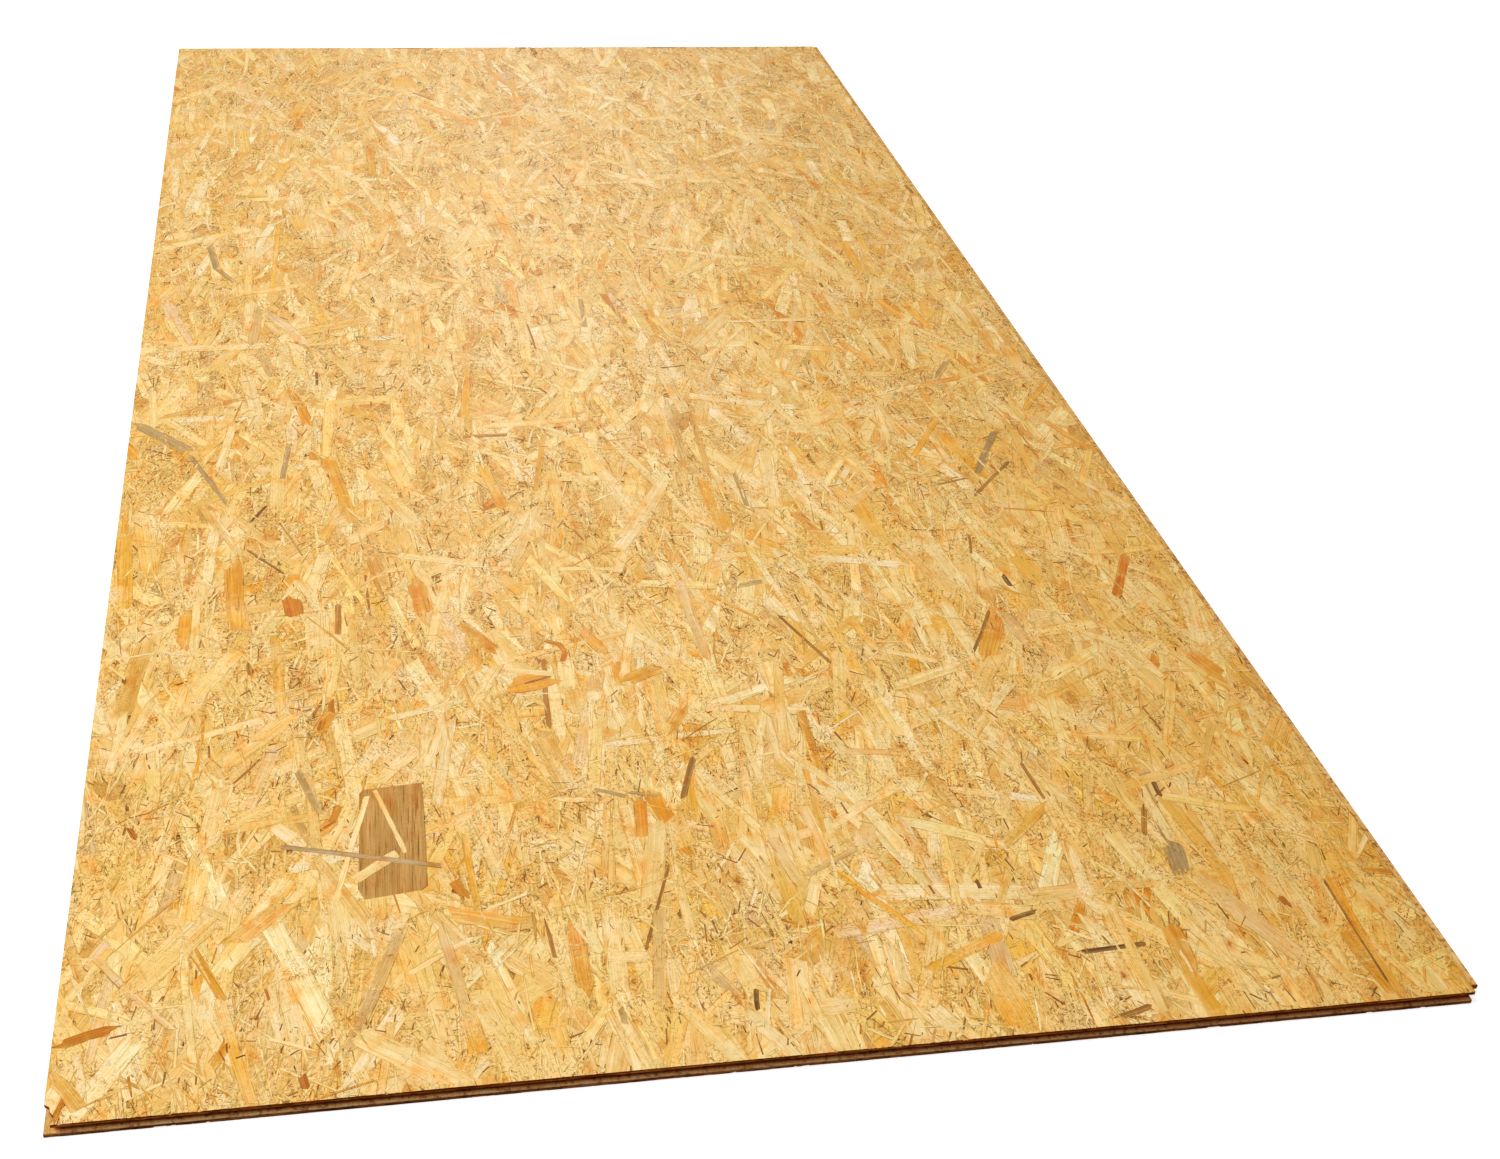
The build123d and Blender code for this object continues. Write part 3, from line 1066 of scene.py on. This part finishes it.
# the turn of each layer from +Y, in degrees, and its changes in a metre along and across the strokes
stroke_layers = ((8, 105, 480), (-22, 120, 540), (38, 130, 500), (-64, 125, 520), (82, 140, 560))
light, gap_shade = 0.0, 0.0
for degrees, along, across in stroke_layers:
    turn = (0, 0, -math.radians(degrees))
    sockets = {"Vector": fines_place, "Rotation": turn, "Scale": (1 / across, 1 / along, 1)}
    turned = put(fines, "ShaderNodeMapping", sockets, vector_type="TEXTURE").outputs[0]
    layer = noise(fines, turned, detail=1.0)
    light = math_node(fines, "MAXIMUM", light, spread(fines, layer, (0.62, 0.70), (0.0, 1.0)))
    # the hollows become painted shade in the gaps between the chips
    gap_shade = math_node(fines, "MAXIMUM", gap_shade, spread(fines, layer, (0.375, 0.285), (0.0, 1.0)))
thickly = spread(fines, noise(fines, fines_place, scale=24.0, detail=1.0), (0.36, 0.62), (0.25, 1.0))
fines.links.new(times(fines, light, thickly), fines_out.inputs["Light"])
fines.links.new(times(fines, gap_shade, thickly), fines_out.inputs["Dark"])
print(f"fines group: {len(stroke_layers)} layers of strokes, {len(fines.nodes)} nodes")

# %% [markdown]
# ## Strand material
#
# Wood that has been pressed against a hot steel plate is smooth but not shiny. Each tone could have a
# material of its own, but then the same graph would be made eighteen times. One material serves all the
# strands, because the meshes carry each strand's tone, grain coordinates and rim.

# %% Start the strand material
strand_wood, wood, wood_shader = new_material("strand_wood")


def carried(tree, name):
    """The node that reads a value which a mesh carries."""
    return put(tree, "ShaderNodeAttribute", attribute_name=name)


def parts_of(tree, vector):
    """The x, y and z of a vector."""
    return put(tree, "ShaderNodeSeparateXYZ", {0: vector}).outputs


tone_node = carried(wood, "tone")
own_tone, own_clean = tone_node.outputs["Color"], tone_node.outputs["Alpha"]
fibre = carried(wood, "fibre").outputs["Vector"]
rim_side, rim_end, half_wide = parts_of(wood, carried(wood, "rim").outputs["Vector"])
low_share = carried(wood, "low").outputs["Fac"]
face_place = put(wood, "ShaderNodeTexCoord").outputs["Object"]
face_parts = parts_of(wood, face_place)
grain_node = put(wood, "ShaderNodeGroup", {"Fibre": fibre}, node_tree=grain)
fines_node = put(wood, "ShaderNodeGroup", {"Place": face_place}, node_tree=fines)
print("the strand material reads", [node.attribute_name for node in wood.nodes if node.type == "ATTRIBUTE"])

# %% [markdown]
# ## Frayed strands
#
# Few strands end in a clean line. Along their sides and ends they fray, and the golden ground shows
# between the fibres. Modelled fibres would need many more points, so the material frays them: within some
# distance of its rim a strand takes the colour of the ground, and noise along the fibres says how far.
# Slivers are too thin to fray, and the brown flake and what lies on it are cut clean.

# %% Fray the sides and ends
# how far from its rim a strand may fray, at the least and at the most
side_fray_reach, end_fray_reach = (0.05 * mm, 4.5 * mm), (0.2 * mm, 18 * mm)
least_passed = 0.3
ground_colour = paint(236, 187, 98)


def rest_of(tree, share):
    """What a share leaves of 1."""
    return math_node(tree, "SUBTRACT", 1.0, share)


side_distance = times(wood, rest_of(wood, math_node(wood, "ABSOLUTE", rim_side)), half_wide)
side_noise = stretched_noise(wood, fibre, (20, 300, 1))
side_reach = spread(wood, side_noise, (0.40, 0.68), side_fray_reach)
side_fray = spread(wood, math_node(wood, "DIVIDE", side_distance, side_reach), (0.55, 1.0), (0.65, 0.0))
# the distance from an end follows from the share of the half length that has been passed
end_share = math_node(wood, "ABSOLUTE", rim_end)
from_middle = math_node(wood, "ABSOLUTE", parts_of(wood, fibre)["X"])
half_long = math_node(wood, "DIVIDE", from_middle, math_node(wood, "MAXIMUM", end_share, least_passed))
end_distance = times(wood, rest_of(wood, end_share), half_long)
end_noise = stretched_noise(wood, fibre, (6, 420, 1), detail=1.0)
end_reach = spread(wood, end_noise, (0.36, 0.66), end_fray_reach)
end_fray = spread(wood, math_node(wood, "DIVIDE", end_distance, end_reach), (0.60, 1.0), (0.70, 0.0))
print(f"fray of up to {side_fray_reach[1] / mm:.1f} mm at sides and {end_fray_reach[1] / mm:.1f} mm at ends")

# %% Blend frayed wood into the ground
def blend(tree, share, first, second, mode="MIX"):
    """Lays the second colour over the first by a share. Inputs 6 and 7 of a Mix node are its two colours."""
    sockets = {0: share, 6: first, 7: second}
    return put(tree, "ShaderNodeMix", sockets, data_type="RGBA", blend_type=mode).outputs[2]


wide_enough = spread(wood, half_wide, (1.5 * mm, 4 * mm), (0.0, 1.0))
not_cut_clean = spread(wood, own_clean, (0.90, 0.99), (1.0, 0.0))
fray = times(wood, math_node(wood, "MAXIMUM", side_fray, end_fray), wide_enough, not_cut_clean)
tone = blend(wood, fray, own_tone, ground_colour)
clean = times(wood, own_clean, rest_of(wood, fray))
print(f"strand material with fray: {len(wood.nodes)} nodes")

# %% [markdown]
# ## Painted shade and grain of a strand
#
# A strand darkens in the narrow gap along its rim and down its walls. This is painted shade: the gaps are too
# fine for the lamps to shade, so the material does it, with a width that noise varies. The grain shows more
# on dark wood than on pale wood.

# %% Paint shade on the rim and the walls, and add the grain
least_rim, most_rim = 0.02 * mm, 2.0 * mm
rim_noise = stretched_noise(wood, fibre, (60, 200, 1), detail=1.0)
rim_width = spread(wood, rim_noise, (0.45, 0.72), (0.0, most_rim))
rim_share = math_node(wood, "DIVIDE", side_distance, math_node(wood, "ADD", rim_width, least_rim))
# painted shade in the gap along each strand's rim
rim_painted_shade = spread(wood, rim_share, (0.05, 1.0), (0.55, 1.0))
# painted shade down each strand's walls, darkest at their foot
wall_painted_shade = spread(wood, low_share, (0.0, 1.0), (1.0, 0.35))
pale = spread(wood, put(wood, "ShaderNodeRGBToBW", {0: tone}).outputs[0], (0.34, 0.52), (0.0, 1.0))
grain_strength = spread(wood, pale, (0.0, 1.0), (1.7, 1.0))
own_grain = math_node(wood, "POWER", grain_node.outputs["Shade"], grain_strength)
shade = times(wood, own_grain, rim_painted_shade, wall_painted_shade)
print(f"rims shaded over at most {most_rim / mm:.1f} mm")

# %% [markdown]
# ## Film and stains
#
# The press leaves a thin film of glue and wood dust that evens out the pale tones in patches. Resin
# stains the wood golden, some of it along the fibres of one strand and some across several. Both could be
# mixed into the tones of the strands, but they run across the strands' outlines. So they follow the place
# on the face.

# %% Lay the film and the stains
def stained_or_painted_shade(tree, share, colour, stain_or_shade):
    """A colour with a see-through tint on a share of it, used for real stains and for painted shade."""
    return blend(tree, share, colour, blend(tree, 1.0, colour, stain_or_shade, "MULTIPLY"))


golden_film, creamy_film = paint(243, 200, 110), paint(249, 222, 174)
fibre_stain, resin_stain = paint(251, 224, 164), paint(250, 207, 112)
film = spread(wood, noise(wood, face_place, scale=17.0, detail=3.0), (0.40, 0.60), (0.0, 0.50))
drift = spread(wood, noise(wood, face_place, scale=15.0, detail=3.0), (0.38, 0.60), (0.0, 1.0))
film_colour = blend(wood, drift, golden_film, creamy_film)
colour = blend(wood, times(wood, film, pale), tone, film_colour)
colour = stained_or_painted_shade(wood, grain_node.outputs["Blush"], colour, fibre_stain)
resin = spread(wood, stretched_noise(wood, face_place, (62, 34, 1), detail=2.5), (0.54, 0.76), (0.0, 0.9))
colour = stained_or_painted_shade(wood, resin, colour, resin_stain)
print(f"strand material with film and stains: {len(wood.nodes)} nodes")

# %% [markdown]
# ## Small knots
#
# Here and there the strands were cut through a small knot, amber around a brown heart. The large ones are
# listed above. The small ones are spots around the points of a Voronoi texture, because it gives each point a
# random value too, which says how large the knot is or that there is none. Noise bends their outlines.

# %% Draw the small knots
knots_in_metre = (9.0, 5.5, 0.0)
knot_bend = (0.012, 0.012, 0.0)
least_knot = 0.0001  # so that nothing is divided by 0 where there is no knot
knot_amber, knot_brown = paint(222, 146, 10), paint(158, 84, 20)
bend_noise = put(wood, "ShaderNodeTexNoise", {"Vector": face_place, "Scale": 55.0, "Detail": 2.0})
bend = scaled(wood, bend_noise.outputs["Color"], knot_bend)
bent_place = put(wood, "ShaderNodeVectorMath", {0: face_place, 1: bend}, operation="ADD").outputs[0]
knot_sockets = {"Vector": scaled(wood, bent_place, knots_in_metre), "Scale": 1.0}
knots = put(wood, "ShaderNodeTexVoronoi", knot_sockets, voronoi_dimensions="2D")
knot_chance = put(wood, "ShaderNodeSeparateColor", {0: knots.outputs["Color"]}).outputs[0]
knot_size = math_node(wood, "ADD", spread(wood, knot_chance, (0.55, 1.0), (0.0, 0.095)), least_knot)
knot_share = math_node(wood, "DIVIDE", knots.outputs["Distance"], knot_size)
streak = spread(wood, stretched_noise(wood, fibre, (30, 400, 1)), (0.35, 0.60), (0.25, 1.0))
halo = times(wood, spread(wood, knot_share, (0.35, 1.0), (1.0, 0.0)), streak)
halo = times(wood, halo, spread(wood, own_clean, (0.95, 0.99), (0.9, 0.0)))
colour = blend(wood, halo, colour, knot_amber)
heart = spread(wood, knot_share, (0.12, 0.38), (0.8, 0.0))
heart = times(wood, heart, spread(wood, own_clean, (0.95, 0.99), (1.0, 0.0)))
colour = blend(wood, heart, colour, knot_brown)
print(f"room for {knots_in_metre[0] * knots_in_metre[1]:.1f} knots in a square metre")

# %% [markdown]
# ## Fines on the strands
#
# Fines lie thick on the ground and thin on the clean strands on top. The same cover everywhere would hide
# the clean strands, so the fines follow what the meshes carry: how clean each strand is. Frayed wood
# counts as ground.

# %% Lay the fines, then the shade
# the dark colour of the fines is painted shade in the gaps between them
pale_fines, fines_gap_shade = paint(250, 220, 152), paint(140, 84, 12)
light_share = times(wood, spread(wood, clean, (0.0, 1.0), (0.75, 0.22)), pale, fines_node.outputs["Light"])
colour = blend(wood, light_share, colour, pale_fines)
gap_shade_share = times(wood, spread(wood, clean, (0.0, 1.0), (1.0, 0.34)), fines_node.outputs["Dark"])
colour = blend(wood, gap_shade_share, colour, fines_gap_shade)
# darker wood is also more orange, so the shade acts less on red and more on blue
red_power, blue_power = 0.80, 2.4
red_shade, blue_shade = (math_node(wood, "POWER", shade, power) for power in (red_power, blue_power))
darker = put(wood, "ShaderNodeCombineXYZ", {0: red_shade, 1: shade, 2: blue_shade}).outputs[0]
colour = scaled(wood, colour, darker)
print(f"strand material with fines and shade: {len(wood.nodes)} nodes")

# %% [markdown]
# ## Painted shade on the right side, and the sawn border
#
# The face is darker and more golden along its right side, most of all at the near corner: this is painted
# shade, where the big lamp's light falls off. A coloured lamp could do that, but it would tint the floor as
# well, so the shade is painted into the wood there. Along the sawn border the strands are cut across, and end
# grain is brown; its dark colour is partly painted shade, as on the milled edges.

# %% Finish the strand material
# painted shade: darker and more golden towards the right side and the near right corner
right_side_painted_shade = (0.89, 0.80, 0.55, 1)
# the dark end grain is partly painted shade, matched to the shaded milled edges
end_grain_and_painted_shade = paint(128, 62, 18)
painted_shade_to_right = spread(wood, face_parts["X"], (0.22, 0.62), (0.0, 1.0))
painted_shade_to_near = spread(wood, face_parts["Y"], (1.2, -1.2), (0.12, 1.0))
colour = stained_or_painted_shade(wood, times(wood, painted_shade_to_right, painted_shade_to_near), colour, right_side_painted_shade)
past_x = math_node(wood, "SUBTRACT", math_node(wood, "ABSOLUTE", face_parts["X"]), half_width)
past_y = math_node(wood, "SUBTRACT", math_node(wood, "ABSOLUTE", face_parts["Y"]), half_length)
sawn = spread(wood, math_node(wood, "MAXIMUM", past_x, past_y), (-0.15 * mm, -0.05 * mm), (0.0, 0.9))
colour = blend(wood, sawn, colour, end_grain_and_painted_shade)
wood.links.new(colour, wood_shader.inputs["Base Color"])
fibre_height = grain_node.outputs["Height"]
wood.links.new(spread(wood, fibre_height, (0.6, 1.4), (0.36, 0.50)), wood_shader.inputs["Roughness"])
wood_shader.inputs["Specular IOR Level"].default_value = 0.25
wood_bump = put(wood, "ShaderNodeBump", {"Height": fibre_height, "Strength": 0.25, "Distance": 0.15 * mm})
wood.links.new(wood_bump.outputs[0], wood_shader.inputs["Normal"])
for piece in top_pieces + under_pieces:
    piece.data.materials.append(strand_wood)
print(f"strand material finished: {len(wood.nodes)} nodes on {len(top_pieces + under_pieces)} pieces")

# %% [markdown]
# ## Milled edges
#
# On the milled edges the strands are cut across, so they show as thin layers, darker and redder than the
# face, with small voids between them. The darkness is partly the wood's own and partly painted shade, as
# these faces turn away from the lamps, and the lower layers are painted darker still, as shade near the
# floor. The layers could be modelled, but they are finer than the photograph shows. So they are cells and
# noise that are stretched along the panel and change quickly through its thickness.

# %% Draw the layers of the edge
mat_wood, mat, mat_shader = new_material("mat_wood")
place = put(mat, "ShaderNodeTexCoord").outputs["Object"]
place_parts = parts_of(mat, place)


def ramp(tree, value, positions, colours):
    """A colour ramp with a picture colour at each position."""
    made = put(tree, "ShaderNodeValToRGB", {"Fac": value})
    elements = made.color_ramp.elements
    while len(elements) < len(positions):
        elements.new(1.0)
    for element, position, colour in zip(elements, positions, colours):
        element.position = position
        element.color = paint(*colour)
    return made.outputs[0]


layer_stops = (0.15, 0.45, 0.7, 0.95)
# the dark red-brown of these layers is partly painted shade, as the edges turn away from the lamps
upper_layers = ((64, 20, 2), (116, 50, 10), (144, 72, 22), (186, 120, 62))
low_layers_with_painted_shade = ((60, 24, 4), (96, 50, 18), (126, 72, 32), (172, 116, 66))
void_brown = paint(70, 34, 12)
layer_cells = put(mat, "ShaderNodeTexVoronoi", {"Vector": scaled(mat, place, (34, 34, 1150)), "Scale": 1.0})
layer_tone = put(mat, "ShaderNodeSeparateColor", {0: layer_cells.outputs["Color"]}).outputs[0]
layer_noise = stretched_noise(mat, place, (60, 60, 2600))
layer_value = math_node(mat, "ADD", times(mat, layer_tone, 0.55), times(mat, layer_noise, 0.5))
upper_colour = ramp(mat, layer_value, layer_stops, upper_layers)
low_colour_with_painted_shade = ramp(mat, layer_value, layer_stops, low_layers_with_painted_shade)
# painted shade: the edge is darker towards the bottom, near the floor
painted_shade_low = spread(mat, place_parts["Z"], (0.3 * thickness, 0.5 * thickness), (1.0, 0.0))
edge_colour = blend(mat, painted_shade_low, upper_colour, low_colour_with_painted_shade)
voids = spread(mat, stretched_noise(mat, place, (130, 130, 1300), detail=1.0), (0.66, 0.72), (0.0, 0.8))
edge_colour = blend(mat, voids, edge_colour, void_brown)
print(f"layers of the edge: {len(mat.nodes)} nodes")

# %% [markdown]
# ## Tongues and grooves
#
# Where the cutter leaves a level surface, on the tongues and the lips of the grooves, the strands are seen
# flat and paler. Each face could be given its material by hand, but the slope of the surface already says
# which of the two it is. Near the mouth of a groove the lips are palest, a painted highlight that dims
# towards the right as painted shade. Deeper in, the wood is painted dark and red, as shade in the groove.
# Both stop where the corner is broken open.

# %% Draw the level surfaces
flat_stops = (0.32, 0.5, 0.68)
flat_tones = ((184, 126, 64), (218, 168, 95), (240, 198, 128))
# painted highlight: the lips are paler near the mouth of a groove, where light reaches in
mouth_painted_light_tones = ((216, 146, 88), (254, 200, 130), (255, 228, 172))
mouth_painted_shade = paint(196, 132, 80)
flat_patch = stretched_noise(mat, place, (45, 45, 45))
flat_noise = stretched_noise(mat, place, (900, 110, 900), detail=3.0)
flat_value = math_node(mat, "ADD", times(mat, flat_patch, 0.5), times(mat, flat_noise, 0.5))
flat_colour = ramp(mat, flat_value, flat_stops, flat_tones)
mouth_painted_light_colour = ramp(mat, flat_value, flat_stops, mouth_painted_light_tones)
# painted shade: the mouth's painted highlight dims towards the right
mouth_shade_to_right = spread(mat, place_parts["X"], (-0.30, 0.60), (0.0, 0.8))
mouth_painted_light_colour = blend(mat, mouth_shade_to_right, mouth_painted_light_colour, mouth_painted_shade)
print(f"edges with level surfaces: {len(mat.nodes)} nodes")

# %% Paint shade into the grooves, darker with depth
break_depth, break_length = 9 * mm, 20 * mm
from_left = math_node(mat, "ADD", place_parts["X"], half_width)
from_front = math_node(mat, "ADD", place_parts["Y"], half_length)
past_left = math_node(mat, "SUBTRACT", from_left, break_depth)
past_front = math_node(mat, "SUBTRACT", from_front, break_length)
past_break = spread(mat, math_node(mat, "MAXIMUM", past_left, past_front), (-2 * mm, 1 * mm), (0.0, 1.0))
whole_groove = times(mat, past_break, carried(mat, "in_groove").outputs["Fac"])
flat_colour = blend(mat, whole_groove, flat_colour, mouth_painted_light_colour)
slope = parts_of(mat, put(mat, "ShaderNodeNewGeometry").outputs["True Normal"])["Z"]
level = spread(mat, math_node(mat, "ABSOLUTE", slope), (0.5, 0.9), (0.0, 1.0))
colour = blend(mat, level, edge_colour, flat_colour)
groove_depth = math_node(mat, "MINIMUM", from_left, from_front)
# painted shade: from and to which depth, in millimetres, a tint gains on the wood, and its share there
groove_painted_shade = ((1.5, 4.0, 0.75, (170, 84, 26)), (2.8, 5.5, 0.95, (80, 16, 0)))
for from_depth, to_depth, share, tint in groove_painted_shade:
    depth_painted_shade = spread(mat, groove_depth, (from_depth * mm, to_depth * mm), (0.0, share))
    colour = blend(mat, times(mat, depth_painted_shade, whole_groove), colour, paint(*tint))
print(f"edges with grooves: {len(mat.nodes)} nodes")

# %% [markdown]
# ## Torn chips
#
# The cutter tears small chips out of the strands, and the torn places are darker and rough. Cutting them
# into the mesh would leave a ragged profile that no longer fits the next panel. So they are a stain in
# patches of noise, with a bump along the layers.

# %% Finish the edges
chip_stain = paint(176, 146, 128)
chips = spread(mat, stretched_noise(mat, place, (210, 210, 420)), (0.50, 0.66), (0.0, 0.85))
colour = stained_or_painted_shade(mat, chips, colour, chip_stain)
mat.links.new(colour, mat_shader.inputs["Base Color"])
mat_shader.inputs["Roughness"].default_value = 0.85
mat_shader.inputs["Specular IOR Level"].default_value = 0.0
mat_bump = put(mat, "ShaderNodeBump", {"Height": layer_noise, "Strength": 0.5, "Distance": 0.4 * mm})
mat.links.new(mat_bump.outputs[0], mat_shader.inputs["Normal"])
core_mesh.materials.append(mat_wood)
print(f"edge material finished: {len(mat.nodes)} nodes")
